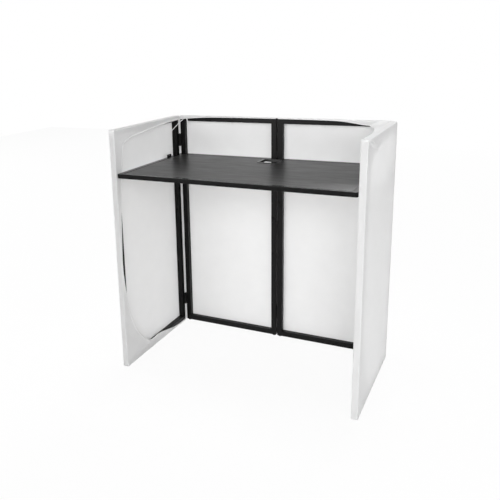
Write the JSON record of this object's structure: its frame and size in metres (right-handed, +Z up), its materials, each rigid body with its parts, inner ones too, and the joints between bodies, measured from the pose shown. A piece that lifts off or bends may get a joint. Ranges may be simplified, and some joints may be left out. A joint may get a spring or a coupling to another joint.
{
  "type": "dj booth",
  "caption": "Folding DJ booth: hinged black tube panels covered in white stretch scrim form a screen around a black lift-off table with a cable port.",
  "frame": {"origin": "on the floor, under the middle of the booth's box", "axes": "+Z up, +Y to the audience, +X to the right hand of the person behind the booth"},
  "size_m": [1.0886, 0.6074, 1.1013],
  "materials": {
    "frame_paint": "satin black powder coat",
    "hardware": "black, satin",
    "glide": "matte black",
    "scrim": "white stretch knit",
    "elastic": "white overlocked elastic",
    "board": "raw board",
    "table_sheet": "semi-gloss black with fine streaks",
    "edge_band": "satin black",
    "port_plastic": "satin black"
  },
  "bodies": {
    "front_left": {"front_left_inner_post": "frame_paint", "front_left_outer_post": "frame_paint", "front_left_top_rail": "frame_paint", "front_left_bottom_rail": "frame_paint", "front_left_feet": "glide", "front_left_screws": "hardware", "front_left_scrim": "scrim", "front_left_hem": "elastic", "centre_left_leaves": "hardware", "centre_pins": "hardware", "left_corner_front_leaves": "hardware", "left_corner_pins": "hardware", "left_corner_gusset": "scrim", "left_corner_elastic": "elastic", "centre_gusset": "scrim"},
    "front_right": {"front_right_inner_post": "frame_paint", "front_right_outer_post": "frame_paint", "front_right_top_rail": "frame_paint", "front_right_bottom_rail": "frame_paint", "front_right_feet": "glide", "front_right_screws": "hardware", "front_right_scrim": "scrim", "front_right_hem": "elastic", "centre_right_leaves": "hardware", "right_corner_front_leaves": "hardware", "right_corner_pins": "hardware", "right_corner_gusset": "scrim", "right_corner_elastic": "elastic"},
    "left_side": {"left_side_rear_post": "frame_paint", "left_side_near_post": "frame_paint", "left_side_top_rail": "frame_paint", "left_side_bottom_rail": "frame_paint", "left_side_feet": "glide", "left_side_screws": "hardware", "left_side_scrim": "scrim", "left_side_hem": "elastic", "left_side_rear_bracket": "frame_paint", "left_side_near_bracket": "frame_paint", "left_corner_side_leaves": "hardware"},
    "right_side": {"right_side_rear_post": "frame_paint", "right_side_near_post": "frame_paint", "right_side_top_rail": "frame_paint", "right_side_bottom_rail": "frame_paint", "right_side_feet": "glide", "right_side_screws": "hardware", "right_side_scrim": "scrim", "right_side_hem": "elastic", "right_side_rear_bracket": "frame_paint", "right_side_near_bracket": "frame_paint", "right_corner_side_leaves": "hardware"},
    "table": {"table_board": "board", "table_sheet": "table_sheet", "table_edge_band": "edge_band", "cable_port": "port_plastic"}
  },
  "joints": [
    {"name": "centre_hinge", "type": "hinge", "parent": "front_left", "child": "front_right", "pos_m": [0, 0.2991, 0.5525], "axis": [0, 0, 1], "range_deg": [0, 180], "deforming": ["centre_gusset"]},
    {"name": "left_corner_hinge", "type": "hinge", "parent": "front_left", "child": "left_side", "pos_m": [-0.515, 0.2681, 0.5525], "axis": [0, 0, -1], "range_deg": [0, 90], "deforming": ["left_corner_gusset", "left_corner_elastic"]},
    {"name": "right_corner_hinge", "type": "hinge", "parent": "front_right", "child": "right_side", "pos_m": [0.515, 0.2681, 0.5525], "axis": [0, 0, 1], "range_deg": [0, 90], "deforming": ["right_corner_gusset", "right_corner_elastic"]},
    {"name": "table_lift", "type": "slide", "parent": "front_left", "child": "table", "axis": [0, 0, 1], "range_m": [0, 0.3]}
  ]
}
